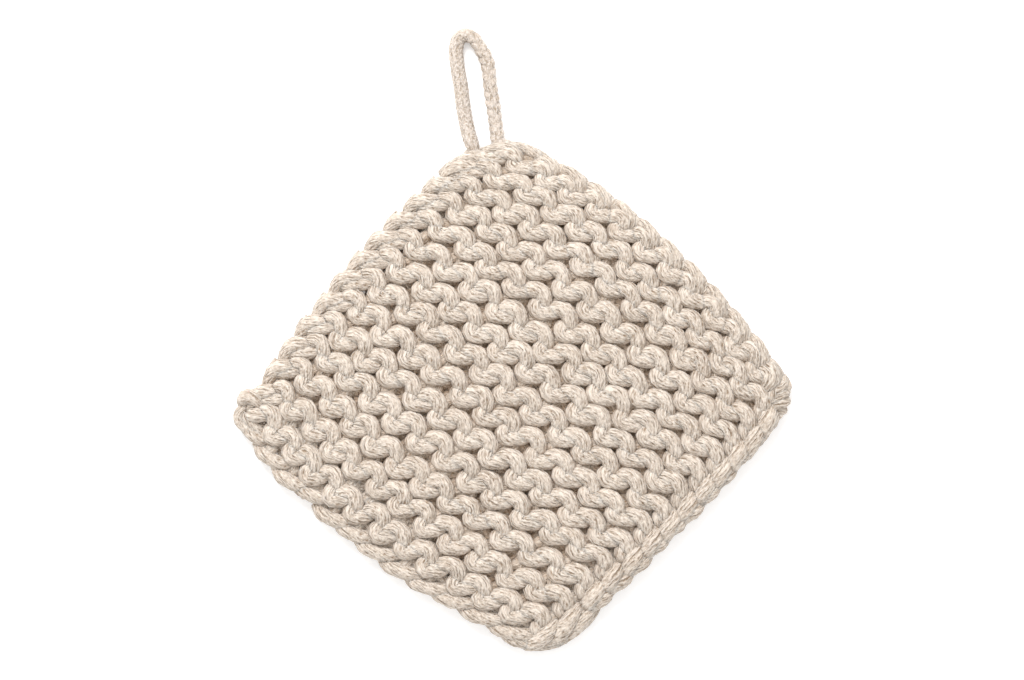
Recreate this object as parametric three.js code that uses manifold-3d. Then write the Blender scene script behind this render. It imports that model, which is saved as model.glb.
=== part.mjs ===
// A chunky pot holder: a garter-stitch square of thick cotton yarn, and a loop of cotton cord to hang it by.
// Millimetres, +Z up. The square lies on z = 0 with its hanging corner towards +Y.
import * as THREE from "three";
import { mergeVertices } from "three/addons/utils/BufferGeometryUtils.js";
import Module from "manifold-3d";

// ---- The knitted square -------------------------------------------------------------------------------------
// A place in the knitting is (u, v): stitches along a ridge, and ridges down from the last one knitted.
const STITCHES = 12;
const RIDGES = 14;
const YARN_RADIUS = 3.9;
const THICKNESS = 15.4;
const MID_HEIGHT = THICKNESS / 2;

// Where the stitch lattice has its corners, and how far each side bows out at its middle.
const CORNER = {
  top: [-0.5, 143.1],
  right: [154.1, 6.7],
  left: [-140.5, -9.3],
  bottom: [15.7, -128.3],
};
const BOW = {
  topRight: [8.3, 13.3],
  bottomLeft: [-10.4, -7.1],
  topLeft: [-5.0, 10.9],
  bottomRight: [7.7, 2.3],
};

// The rim's place past the outer stitches, in stitches or ridges, and how far each side has shifted from there
// by the second of two places along it. The left corner ends in a knob.
const RIM = {
  topLeft: -0.97,
  topRight: -0.42,
  bottomRight: 12.03,
  bottomLeft: 14.18,
};
const RIM_SHIFT = {
  topLeft: { by: -0.46, from: 13.1, to: 13.7 },
  topRight: { by: 0.2, from: 2, to: 10 },
  bottomRight: { by: 0.42, from: 1, to: 13 },
  bottomLeft: { by: 0.2, from: 8, to: 11 },
};
// Each stitch or ridge makes a scallop in the rim, which stands furthest out at this share of it.
const RIM_SCALLOP = 0.07;
const SCALLOP_PLACE = { topLeft: 0.6, topRight: 0.1, bottomRight: 0.1, bottomLeft: 0 };
// How round each corner is, and the heights of the rim's two edges.
const CORNER_ROUND = { top: 1.6, right: 1.1, left: 0.35, bottom: 1 };
const RIM_TOP_HEIGHT = 9.6;
const RIM_LOW_HEIGHT = 4.4;

// Faces of a stitch: the top has COLUMNS by ROWS of them, and the underside has the lines named here.
const COLUMNS = 6;
const ROWS = 4;
const UNDER_COLUMN_STEP = 3;
const UNDER_ROW_LINES = [0, 1, 3];
const UNDER_VALLEY_DEPTH = { between: 4.2, behind: 2.6 };
const VALLEY_HEIGHT = MID_HEIGHT + 1.4;
// A point of the face this near the middle of a yarn lies on it, and only yarn this near can raise it.
const DRAWN_TO_YARN = 1.3;
const NEAR_STITCHES = 1.6;

// The yarn of one stitch as it shows on the face: offsets in stitches and ridges, and height over the middle.
const HEAD = [
  { u: -0.319, v: 0.413, z: 0.4 },
  { u: -0.348, v: 0.158, z: 2.6 },
  { u: -0.083, v: -0.03, z: 3.8 },
  { u: 0.196, v: -0.018, z: 3.8 },
  { u: 0.359, v: 0.144, z: 2.8 },
  { u: 0.488, v: 0.378, z: 0.6 },
];
const SINKER = [
  { u: -0.839, v: 0.49, z: 0.4 },
  { u: -0.687, v: 0.733, z: 2.6 },
  { u: -0.556, v: 0.774, z: 3.3 },
  { u: -0.319, v: 0.729, z: 3.5 },
  { u: -0.112, v: 0.552, z: 3.1 },
  { u: -0.013, v: 0.339, z: 1.6 },
];
// One link of the chain along the bottom right side, and one strand along the bottom left side.
const CHAIN_OUTER = [
  { u: 0.62, v: 0.75, z: 1.2 },
  { u: 0.75, v: 0.2, z: 2.6 },
  { u: 0.62, v: -0.3, z: 2.2 },
];
const CHAIN_INNER = [
  { u: 0.52, v: 0.7, z: 2.4 },
  { u: 0.42, v: 0.2, z: 3.0 },
  { u: 0.56, v: -0.25, z: 2.4 },
];
const CAST_ON = [
  { u: -0.7, v: 0.4, z: 0 },
  { u: -0.2, v: 0.58, z: 1 },
  { u: 0.35, v: 0.54, z: 0 },
];

// ---- The hanging loop ---------------------------------------------------------------------------------------
const CORD_RADIUS = 3.7;
const CORD_SIDES = 12;
const CORD_STEP = 2.45;
const CORD_LINK = 4.9;
const CORD_LINK_DEPTH = 0.55;
const CLEARANCE = 0.3;
// Its route, out of the top corner, round and back in.
const LOOP_ROUTE = [
  { x: -17.2, y: 129.6, z: 7.2 },
  { x: -19.9, y: 134.6, z: 7.0 },
  { x: -22.4, y: 141.0, z: 5.7 },
  { x: -24.3, y: 148.2, z: 4.3 },
  { x: -26.3, y: 159.2, z: 3.75 },
  { x: -27.6, y: 170.1, z: 3.75 },
  { x: -29.5, y: 181.1, z: 3.75 },
  { x: -30.1, y: 191.0, z: 3.75 },
  { x: -28.5, y: 196.2, z: 3.75 },
  { x: -24.6, y: 198.2, z: 3.75 },
  { x: -20.6, y: 196.4, z: 3.75 },
  { x: -17.4, y: 191.8, z: 3.75 },
  { x: -14.2, y: 186.3, z: 3.75 },
  { x: -12.6, y: 180.6, z: 3.75 },
  { x: -11.5, y: 170.1, z: 3.75 },
  { x: -9.8, y: 159.2, z: 3.75 },
  { x: -8.5, y: 149.2, z: 4.3 },
  { x: -7.6, y: 142.6, z: 5.7 },
  { x: -7.0, y: 136.4, z: 7.0 },
];

const COTTON = new THREE.MeshStandardMaterial({
  color: 0xd8cbbc,
  roughness: 0.95,
  metalness: 0,
});
const CORD_COTTON = new THREE.MeshStandardMaterial({
  color: 0xd3c7b8,
  roughness: 0.95,
  metalness: 0,
});

const wasm = await Module();
wasm.setup();

function smoothStep(low, high, x) {
  return THREE.MathUtils.smoothstep(x, low, high);
}

// The place in the plane of knitting place (u, v): a bent four-sided patch.
function inPlane(u, v) {
  const s = (u + 0.5) / STITCHES;
  const t = (v + 0.5) / RIDGES;
  const bow = (a) => 4 * a * (1 - a);
  return [0, 1].map(
    (k) =>
      CORNER.top[k] * (1 - s) * (1 - t) +
      CORNER.right[k] * s * (1 - t) +
      CORNER.left[k] * (1 - s) * t +
      CORNER.bottom[k] * s * t +
      bow(s) * (BOW.topRight[k] * (1 - t) + BOW.bottomLeft[k] * t) +
      bow(t) * (BOW.topLeft[k] * (1 - s) + BOW.bottomRight[k] * s),
  );
}

// How far the rim lies out at each side, and which way is out: -1 towards lower numbers, 1 towards higher.
function rimAt(u, v) {
  const side = (name, along, outwards) =>
    RIM[name] +
    RIM_SHIFT[name].by * smoothStep(RIM_SHIFT[name].from, RIM_SHIFT[name].to, along) +
    outwards * RIM_SCALLOP * Math.cos(2 * Math.PI * (along - SCALLOP_PLACE[name]));
  return {
    uLow: side("topLeft", v, -1),
    uHigh: side("bottomRight", v, 1),
    vLow: side("topRight", u, -1),
    vHigh: side("bottomLeft", u, 1),
  };
}

// A square's corner is drawn in to a round one: a and b are the distances from its two sides, both under 1.
function roundedCorner(a, b) {
  const x = 1 - a;
  const y = 1 - b;
  return [1 - x * Math.sqrt(1 - (y * y) / 2), 1 - y * Math.sqrt(1 - (x * x) / 2)];
}

// The knitting place of a lattice line crossing, with the outer lines on the rim and the corners rounded,
// and whether it lies in one of those corners.
function onLattice(uLine, vLine) {
  const uFree = Number.isFinite(uLine) ? uLine : uLine < 0 ? RIM.topLeft : RIM.bottomRight;
  const vFree = Number.isFinite(vLine) ? vLine : vLine < 0 ? RIM.topRight : RIM.bottomLeft;
  const rim = rimAt(uFree, vFree);
  let u = THREE.MathUtils.clamp(uLine, rim.uLow, rim.uHigh);
  let v = THREE.MathUtils.clamp(vLine, rim.vLow, rim.vHigh);
  const corners = [
    { round: CORNER_ROUND.top, uSide: rim.uLow, uWay: 1, vSide: rim.vLow, vWay: 1 },
    { round: CORNER_ROUND.right, uSide: rim.uHigh, uWay: -1, vSide: rim.vLow, vWay: 1 },
    { round: CORNER_ROUND.left, uSide: rim.uLow, uWay: 1, vSide: rim.vHigh, vWay: -1 },
    { round: CORNER_ROUND.bottom, uSide: rim.uHigh, uWay: -1, vSide: rim.vHigh, vWay: -1 },
  ];
  let inCorner = false;
  for (const c of corners) {
    const a = ((u - c.uSide) * c.uWay) / c.round;
    const b = ((v - c.vSide) * c.vWay) / c.round;
    if (a < 1 && b < 1) {
      const [x, y] = roundedCorner(a, b);
      u = c.uSide + c.uWay * x * c.round;
      v = c.vSide + c.vWay * y * c.round;
      inCorner = true;
    }
  }
  return { u, v, inCorner };
}

// Every length of yarn that shows on the face, as points in space.
function yarnLines() {
  const lines = [];
  const place = (shape, p, q) =>
    lines.push({
      p,
      q,
      points: shape.map((k) => new THREE.Vector3(...inPlane(p + k.u, q + k.v), MID_HEIGHT + k.z)),
    });
  for (let q = 0; q < RIDGES; q += 1) {
    for (let p = 0; p < STITCHES; p += 1) {
      place(HEAD, p, q);
      place(SINKER, p, q);
    }
    place(CHAIN_OUTER, STITCHES - 0.5, q);
    place(CHAIN_INNER, STITCHES - 0.5, q);
  }
  for (let p = 0; p < STITCHES; p += 1) place(CAST_ON, p, RIDGES - 0.5);
  return lines;
}

// The nearest point of the yarn to a place in the plane, and the height of the yarn's surface there.
function overYarn(x, y, lines) {
  const best = { distance: Infinity, x, y, height: VALLEY_HEIGHT };
  for (const line of lines) {
    for (let i = 1; i < line.points.length; i += 1) {
      const a = line.points[i - 1];
      const b = line.points[i];
      const along = new THREE.Vector2(b.x - a.x, b.y - a.y);
      const share = ((x - a.x) * along.x + (y - a.y) * along.y) / along.lengthSq();
      const k = THREE.MathUtils.clamp(share, 0, 1);
      const near = a.clone().lerp(b, k);
      const distance = Math.hypot(x - near.x, y - near.y);
      if (distance < YARN_RADIUS) {
        const height = near.z + Math.sqrt(YARN_RADIUS ** 2 - distance ** 2);
        best.height = Math.max(best.height, height);
      }
      if (distance < best.distance) {
        best.distance = distance;
        best.x = near.x;
        best.y = near.y;
      }
    }
  }
  return best;
}

// The lattice lines across the whole square, the two rims as -Infinity and Infinity.
function latticeLines(first, last, perStitch) {
  const count = Math.round((last - first) * perStitch);
  const inner = Array.from({ length: count + 1 }, (_, i) => first + i / perStitch);
  return [-Infinity, ...inner, Infinity];
}

// The knitted square: a raised face, an underside that rests on its ridges, and the rim between them.
function knittedSquare() {
  const uLines = latticeLines(-4 / COLUMNS, STITCHES, COLUMNS);
  const vLines = latticeLines(0, RIDGES, ROWS);
  const lastU = uLines.length - 1;
  const lastV = vLines.length - 1;
  const lines = yarnLines();
  const points = [];
  const faces = [];
  const addPoint = (x, y, z) => points.push(x, y, z) / 3 - 1;

  // How many lattice lines a point lies in from the nearest rim.
  const linesIn = (i, j) => Math.min(i, j, lastU - i, lastV - j);

  const top = uLines.map((uLine, i) =>
    vLines.map((vLine, j) => {
      const { u, v, inCorner } = onLattice(uLine, vLine);
      const [x, y] = inPlane(u, v);
      if (linesIn(i, j) === 0) return addPoint(x, y, RIM_TOP_HEIGHT);
      const near = lines.filter(
        (line) => Math.abs(line.p - u) < NEAR_STITCHES && Math.abs(line.q - v) < NEAR_STITCHES,
      );
      const found = overYarn(x, y, near);
      const isDrawn = found.distance < DRAWN_TO_YARN && linesIn(i, j) > 1 && !inCorner;
      if (!isDrawn) return addPoint(x, y, found.height);
      return addPoint(found.x, found.y, overYarn(found.x, found.y, near).height);
    }),
  );
  for (let i = 0; i < lastU; i += 1) {
    for (let j = 0; j < lastV; j += 1) {
      faces.push(top[i][j], top[i][j + 1], top[i + 1][j + 1]);
      faces.push(top[i][j], top[i + 1][j + 1], top[i + 1][j]);
    }
  }

  const isUnderColumn = (i) => i === 0 || i === lastU || (i - 1) % UNDER_COLUMN_STEP === 0;
  const isUnderRow = (j) => j === 0 || j === lastV || UNDER_ROW_LINES.includes((j - 1) % ROWS);
  const underU = uLines.map((_, i) => i).filter(isUnderColumn);
  const underV = vLines.map((_, j) => j).filter(isUnderRow);
  const under = underU.map((i) =>
    underV.map((j) => {
      const { u, v } = onLattice(uLines[i], vLines[j]);
      const [x, y] = inPlane(u, v);
      if (linesIn(i, j) === 0) return addPoint(x, y, RIM_LOW_HEIGHT);
      const inValley = (j - 1) % ROWS === 0;
      const between = ((i - 1) / UNDER_COLUMN_STEP) % 2 === 0;
      const depth = between ? UNDER_VALLEY_DEPTH.between : UNDER_VALLEY_DEPTH.behind;
      return addPoint(x, y, inValley ? depth : 0);
    }),
  );
  for (let i = 0; i < underU.length - 1; i += 1) {
    for (let j = 0; j < underV.length - 1; j += 1) {
      faces.push(under[i][j], under[i + 1][j + 1], under[i][j + 1]);
      faces.push(under[i][j], under[i + 1][j], under[i + 1][j + 1]);
    }
  }

  // The rim joins each stretch between two underside points to the finer stretch of the face above it.
  const joinRim = (upper, lower, facesOut) => {
    for (let k = 0; k < lower.length - 1; k += 1) {
      const [from, to] = [lower[k].at, lower[k + 1].at];
      const addFace = (a, b, c) => faces.push(...(facesOut ? [a, b, c] : [a, c, b]));
      for (let m = from; m < to; m += 1) addFace(lower[k].point, upper[m + 1], upper[m]);
      addFace(lower[k].point, lower[k + 1].point, upper[to]);
    }
  };
  const column = (i) => underV.map((j, k) => ({ at: j, point: under[i][k] }));
  const row = (j) => underU.map((i, k) => ({ at: i, point: under[k][j] }));
  joinRim(top[0], column(0), true);
  joinRim(top[lastU], column(underU.length - 1), false);
  joinRim(top.map((line) => line[0]), row(0), false);
  joinRim(top.map((line) => line[lastV]), row(underV.length - 1), true);

  const geometry = new THREE.BufferGeometry();
  geometry.setAttribute("position", new THREE.Float32BufferAttribute(points, 3));
  geometry.setIndex(faces);
  return geometry;
}

// The cord's tube, with one raised link after another on each of its four sides.
function linkedCord(curve) {
  const steps = Math.round(curve.getLength() / CORD_STEP);
  const frames = curve.computeFrenetFrames(steps);
  const points = [];
  const faces = [];
  for (let i = 0; i <= steps; i += 1) {
    const centre = curve.getPointAt(i / steps);
    for (let k = 0; k < CORD_SIDES; k += 1) {
      const turn = (2 * Math.PI * k) / CORD_SIDES;
      const along = (i * CORD_STEP) / CORD_LINK + (k % 2) / 2;
      const radius = CORD_RADIUS - CORD_LINK_DEPTH * Math.sin(Math.PI * along) ** 2;
      const out = frames.normals[i]
        .clone()
        .multiplyScalar(Math.cos(turn))
        .addScaledVector(frames.binormals[i], Math.sin(turn));
      points.push(...centre.clone().addScaledVector(out, radius).toArray());
    }
  }
  const ring = (i, k) => i * CORD_SIDES + (k % CORD_SIDES);
  for (let i = 0; i < steps; i += 1) {
    for (let k = 0; k < CORD_SIDES; k += 1) {
      faces.push(ring(i, k), ring(i, k + 1), ring(i + 1, k + 1));
      faces.push(ring(i, k), ring(i + 1, k + 1), ring(i + 1, k));
    }
  }
  for (let k = 1; k < CORD_SIDES - 1; k += 1) {
    faces.push(ring(0, 0), ring(0, k + 1), ring(0, k));
    faces.push(ring(steps, 0), ring(steps, k), ring(steps, k + 1));
  }
  const geometry = new THREE.BufferGeometry();
  geometry.setAttribute("position", new THREE.Float32BufferAttribute(points, 3));
  geometry.setIndex(faces);
  return geometry;
}

function toSolid(geometry) {
  const merged = mergeVertices(geometry, 1e-4);
  const triVerts = new Uint32Array(merged.index.array);
  return new wasm.Manifold(
    new wasm.Mesh({ numProp: 3, vertProperties: merged.attributes.position.array, triVerts }),
  );
}

function toGeometry(solid) {
  const mesh = solid.getMesh();
  const geometry = new THREE.BufferGeometry();
  geometry.setAttribute("position", new THREE.BufferAttribute(mesh.vertProperties, 3));
  geometry.setIndex(new THREE.BufferAttribute(mesh.triVerts, 1));
  return geometry;
}

function namedMesh(name, geometry, material) {
  const mesh = new THREE.Mesh(geometry, material);
  mesh.name = name;
  return mesh;
}

const square = knittedSquare();
const route = LOOP_ROUTE.map((at) => new THREE.Vector3(at.x, at.y, at.z));
const cord = toSolid(linkedCord(new THREE.CatmullRomCurve3(route, false, "centripetal")));
const squareSolid = toSolid(square);
// The cord stops CLEARANCE short of the knitting: the square is moved that far out, straight and at both slants,
// and cut away each time.
let hangingLoop = cord.subtract(squareSolid);
for (const slant of [-Math.PI / 4, 0, Math.PI / 4]) {
  const moved = [CLEARANCE * Math.sin(slant), CLEARANCE * Math.cos(slant), 0];
  hangingLoop = hangingLoop.subtract(squareSolid.translate(moved));
}
hangingLoop = hangingLoop.decompose().reduce((a, b) => (a.volume() > b.volume() ? a : b));

const potHolder = new THREE.Group();
potHolder.name = "pot_holder";
potHolder.add(namedMesh("knitted_square", square, COTTON));
potHolder.add(namedMesh("hanging_loop", toGeometry(hangingLoop), CORD_COTTON));

export default potHolder;
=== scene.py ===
"""The looks of a pot holder knitted in garter stitch from thick cotton yarn, with a hanging loop of cotton cord.

Lengths are in millimetres until a mesh is made. A place in the knitting is (u, v): stitches along a ridge, and
ridges down from the last one knitted.
"""

import math

import bpy
import numpy as np
from bpy.props import FloatProperty, FloatVectorProperty, IntProperty, PointerProperty
from bpy.types import Operator, Panel, PropertyGroup
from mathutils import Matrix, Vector


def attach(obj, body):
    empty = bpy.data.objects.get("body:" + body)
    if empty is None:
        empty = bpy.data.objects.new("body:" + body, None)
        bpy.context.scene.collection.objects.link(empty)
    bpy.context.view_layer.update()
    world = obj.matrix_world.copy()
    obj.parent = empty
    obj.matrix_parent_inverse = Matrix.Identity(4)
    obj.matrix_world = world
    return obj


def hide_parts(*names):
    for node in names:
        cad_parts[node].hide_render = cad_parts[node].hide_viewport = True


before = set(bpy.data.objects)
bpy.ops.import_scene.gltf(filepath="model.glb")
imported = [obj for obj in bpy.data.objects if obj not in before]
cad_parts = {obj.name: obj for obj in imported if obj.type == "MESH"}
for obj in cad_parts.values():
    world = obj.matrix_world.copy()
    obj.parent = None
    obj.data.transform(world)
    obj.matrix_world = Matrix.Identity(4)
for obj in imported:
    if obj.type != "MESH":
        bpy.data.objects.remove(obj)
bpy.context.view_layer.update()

bl_info = {
    "name": "Knitted Pot Holder",
    "version": (1, 0, 0),
    "blender": (4, 5, 0),
    "location": "3D View > Sidebar > Pot Holder",
    "description": "Builds a garter-stitch pot holder of thick cotton yarn with a hanging loop of cord",
    "category": "Add Mesh",
}

MM = 0.001
# Steps that a smooth line takes from one of its points to the next.
SPLINE_STEPS = 10

# ---- Sizes of the knitting ----------------------------------------------------------------------------------
STITCHES = 12
RIDGES = 14
# How high the middle of the knitting's thickness lies over the table.
MID_HEIGHT = 7.7
YARN_RADIUS = 3.9
# In the middle of the square, about how wide a stitch is along its ridge, and how far a ridge lies from the next.
STITCH_WIDTH = 18.0
RIDGE_PITCH = 16.0
# The corners of the square, and how far the middle of each side lies off the straight line between two of them.
CORNERS = {"top": (-0.5, 143.1), "right": (154.1, 6.7), "left": (-140.5, -9.3), "bottom": (15.7, -128.3)}
BOWS = {
    "top_right": (8.3, 13.3),
    "bottom_left": (-10.4, -7.1),
    "top_left": (-5.0, 10.9),
    "bottom_right": (7.7, 2.3),
}
# The middle of the square, and half of its width and height from corner to corner.
SQUARE_MIDDLE = (7.0, 7.0)
SQUARE_HALF = (147.0, 136.0)
# The rounded hanging corner draws its stitches in by this many stitches and ridges, and how far that reaches.
TOP_PULL = (0.05, 0.26)
TOP_PULL_REACH = 1.1
# Where the knitting has settled off its even grid: middle, reach, and shift, each along and across the ridges.
SETTLED = (
    ((8.0, 0.3), (5.5, 1.1), (-0.15, 0.09)),
    ((5.5, 2.2), (4.0, 0.9), (-0.05, -0.07)),
    ((10.0, 11.2), (2.2, 2.5), (-0.02, -0.11)),
    ((1.5, 9.5), (2.5, 2.0), (-0.05, 0.05)),
    ((5.0, 13.2), (4.0, 0.8), (-0.05, -0.06)),
)

# The yarn of one stitch: u and v from the stitch's place, height over the middle, and the yarn's radius there.
HEAD = (
    (-0.283, 0.385, -0.2, 3.6),
    (-0.284, 0.252, 1.8, 4.2),
    (-0.232, 0.146, 2.8, 4.5),
    (-0.155, 0.062, 3.2, 4.6),
    (-0.064, 0.016, 3.4, 4.6),
    (0.052, -0.012, 3.5, 4.6),
    (0.166, 0.026, 3.4, 4.6),
    (0.298, 0.114, 2.9, 4.6),
    (0.404, 0.214, 1.8, 4.4),
    (0.505, 0.344, -0.4, 3.8),
)
SINKER = (
    (-0.680, 0.290, 0.2, 3.7),
    (-0.648, 0.424, 2.3, 4.4),
    (-0.605, 0.520, 2.9, 4.7),
    (-0.538, 0.578, 3.0, 4.7),
    (-0.454, 0.580, 3.0, 4.6),
    (-0.340, 0.502, 3.1, 4.5),
    (-0.190, 0.370, 3.0, 4.3),
    (-0.105, 0.309, 2.6, 4.0),
    (-0.022, 0.220, 1.5, 3.4),
)
LEG_DOWN = ((0.420, 0.490, -0.8, 2.6), (0.280, 0.620, -1.6, 2.5))
LEG_UP = ((0.830, 0.600, -0.2, 2.6),)
LEG_BACK = ((-0.170, 0.060, -0.2, 2.5),)
LEG_FRONT = ((0.360, 0.100, 0.2, 2.6),)
# Turning the work over swaps its faces: u and z change sign, and the rows move on by half a ridge.
TURNED_U = 0.166
TURNED_V = 0.5

# Yarn that turns at the top left side: down the edge, over into the first head, and out from under it again.
FIRST_HEAD = (
    (-0.55, 1.72, -2.8, 3.0),
    (-0.64, 1.48, -0.4, 3.5),
    (-0.71, 1.22, 1.2, 3.9),
    (-0.70, 0.97, 2.3, 4.2),
    (-0.60, 0.77, 3.0, 4.2),
    (-0.47, 0.63, 3.0, 4.2),
    (-0.34, 0.51, 2.2, 4.1),
    (-0.25, 0.37, 1.6, 4.0),
    (-0.20, 0.23, 2.8, 4.2),
    (-0.11, 0.13, 3.5, 4.4),
    (0.02, 0.086, 3.6, 4.4),
    (0.150, 0.125, 3.5, 4.3),
    (0.280, 0.228, 3.0, 4.2),
    (0.405, 0.355, 1.8, 4.0),
    (0.520, 0.475, -0.2, 3.5),
)
FIRST_SINKER = (
    (-0.78, 0.75, -3.2, 2.8),
    (-0.78, 1.02, -3.0, 3.0),
    (-0.69, 1.14, -1.4, 3.2),
    (-0.57, 1.08, 0.6, 3.6),
    (-0.43, 0.94, 1.9, 3.9),
    (-0.28, 0.77, 2.6, 4.1),
    (-0.13, 0.59, 2.8, 4.0),
    (-0.01, 0.44, 2.3, 3.7),
    (0.09, 0.30, 0.8, 3.3),
)
# The stitch in the top corner.
CORNER_HEAD = (
    (-0.40, 0.80, -2.6, 2.8),
    (-0.27, 0.62, -0.4, 3.2),
    (-0.21, 0.44, 1.6, 3.7),
    (-0.16, 0.22, 2.6, 3.9),
    (-0.06, 0.06, 3.1, 4.0),
    (0.08, -0.01, 3.3, 4.1),
    (0.24, 0.02, 3.2, 4.1),
    (0.38, 0.12, 2.6, 4.0),
    (0.50, 0.26, 1.2, 3.7),
    (0.58, 0.38, -0.4, 3.3),
)
# The heads of the last ridge knitted lie lower, and a strand of the binding off wraps each from outside.
TOP_HEAD = (
    (-0.200, 0.360, -0.2, 3.5),
    (-0.100, 0.260, 1.4, 4.0),
    (-0.032, 0.150, 2.6, 4.3),
    (0.050, 0.056, 3.2, 4.4),
    (0.168, 0.034, 3.4, 4.4),
    (0.290, 0.104, 3.1, 4.4),
    (0.400, 0.208, 2.4, 4.2),
    (0.505, 0.304, 1.0, 3.9),
    (0.595, 0.384, -0.4, 3.4),
)
# The last stitch of that ridge, at the right corner, turns down to the bottom right side.
LAST_TOP_HEAD = (
    (-0.36, 0.34, 0.0, 3.5),
    (-0.28, 0.20, 2.2, 4.2),
    (-0.16, 0.12, 3.2, 4.6),
    (-0.05, 0.14, 3.6, 4.8),
    (0.03, 0.24, 3.5, 4.8),
    (0.09, 0.38, 2.8, 4.5),
    (0.13, 0.54, 1.2, 4.0),
    (0.17, 0.66, -0.6, 3.3),
)
BIND_OFF = (
    (-0.360, -0.080, -2.0, 2.7),
    (-0.287, -0.187, -0.3, 3.0),
    (-0.125, -0.268, 1.6, 3.3),
    (0.072, -0.246, 2.6, 3.5),
    (0.281, -0.178, 2.9, 3.6),
    (0.428, -0.089, 2.6, 3.6),
    (0.565, 0.051, 1.8, 3.4),
    (0.690, 0.219, -0.2, 3.0),
)
# One link of the chain down the bottom right side.
CHAIN_INNER = (
    (11.52, -0.06, -2.6, 3.2),
    (11.56, 0.06, 0.9, 4.3),
    (11.62, 0.20, 2.4, 4.9),
    (11.67, 0.40, 2.9, 5.1),
    (11.72, 0.62, 2.5, 4.9),
    (11.79, 0.84, 1.4, 4.3),
    (11.86, 1.02, -0.6, 3.5),
    (11.90, 1.16, -3.0, 2.8),
)
CHAIN_OUTER = (
    (11.72, -0.14, -1.8, 3.0),
    (11.79, 0.10, 0.4, 3.7),
    (11.81, 0.30, 1.3, 4.1),
    (11.78, 0.52, 1.6, 4.1),
    (11.75, 0.76, 1.1, 3.9),
    (11.77, 0.98, -0.2, 3.4),
    (11.80, 1.18, -2.0, 3.0),
)
LAST_SINKER = (
    (-0.728, 0.309, 0.4, 3.2),
    (-0.671, 0.450, 2.4, 3.6),
    (-0.600, 0.560, 2.6, 3.6),
    (-0.480, 0.610, 1.4, 3.3),
    (-0.360, 0.600, -1.4, 2.8),
)
# The last ridge down starts with a lower loop that comes from under the knob at the left corner.
KNOB_SINKER = (
    (-0.62, 0.68, -3.4, 2.8),
    (-0.52, 0.70, -0.4, 3.4),
    (-0.44, 0.63, 2.0, 4.0),
    (-0.34, 0.53, 2.8, 4.2),
    *SINKER[6:],
)
# The yarn that the cast-on side was worked over, under the last ridge: where it starts and ends along the ridge,
# its place across it and how far every other point waves, its height over the middle, and its radius.
BASE_ENDS = (-0.6, 11.6)
BASE_POINTS = 25
BASE_V = 13.50
BASE_WAVE = 0.06
BASE_HEIGHT = -2.8
BASE_RADIUS = 4.2
CAST_ON_BASE = tuple(
    (u, BASE_V + BASE_WAVE * (k % 2), BASE_HEIGHT, BASE_RADIUS)
    for k, u in enumerate(np.linspace(*BASE_ENDS, BASE_POINTS))
)
# One strand of the cast-on side.
CAST_ON = (
    (-0.86, 14.02, -2.6, 3.0),
    (-0.66, 14.07, -0.6, 3.4),
    (-0.48, 14.09, 0.8, 3.8),
    (-0.26, 14.04, 1.5, 4.0),
    (0.02, 13.97, 1.7, 4.0),
    (0.26, 13.87, 1.3, 3.9),
    (0.47, 13.74, 0.0, 3.5),
    (0.64, 13.60, -2.2, 3.0),
)
# How far the two legs of the chain move out by the last ridge. The corners' own yarn takes the place of its ends.
CHAIN_SHIFT = (0.12, 0.30)
CHAIN_RIDGES = range(1, RIDGES - 2)
# The rim that holds the rows' own yarn, how far inside it the yarn stays, and the least step kept between points.
RIM_LOW_U = -1.0
RIM_HIGH_U = 12.0
RIM_LOW_V = -0.36
RIM_HIGH_V = 14.2
RIM_INSIDE = 0.2
LEAST_STEP = 0.8
# How far loops stray beside the yarn's unevenness: in millimetres of height for a stitch, at the first stitch of a
# row, and in the chain.
STRAY_HEIGHT = 6
FIRST_STRAY = 0.4
CHAIN_STRAY = 0.6
RIDGES_PER_PIECE = 3
# The rows' draws start from this seed and their ridge's number, and the edges' draws from their own.
ROW_SEED = 100
EDGE_SEED = 31

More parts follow.
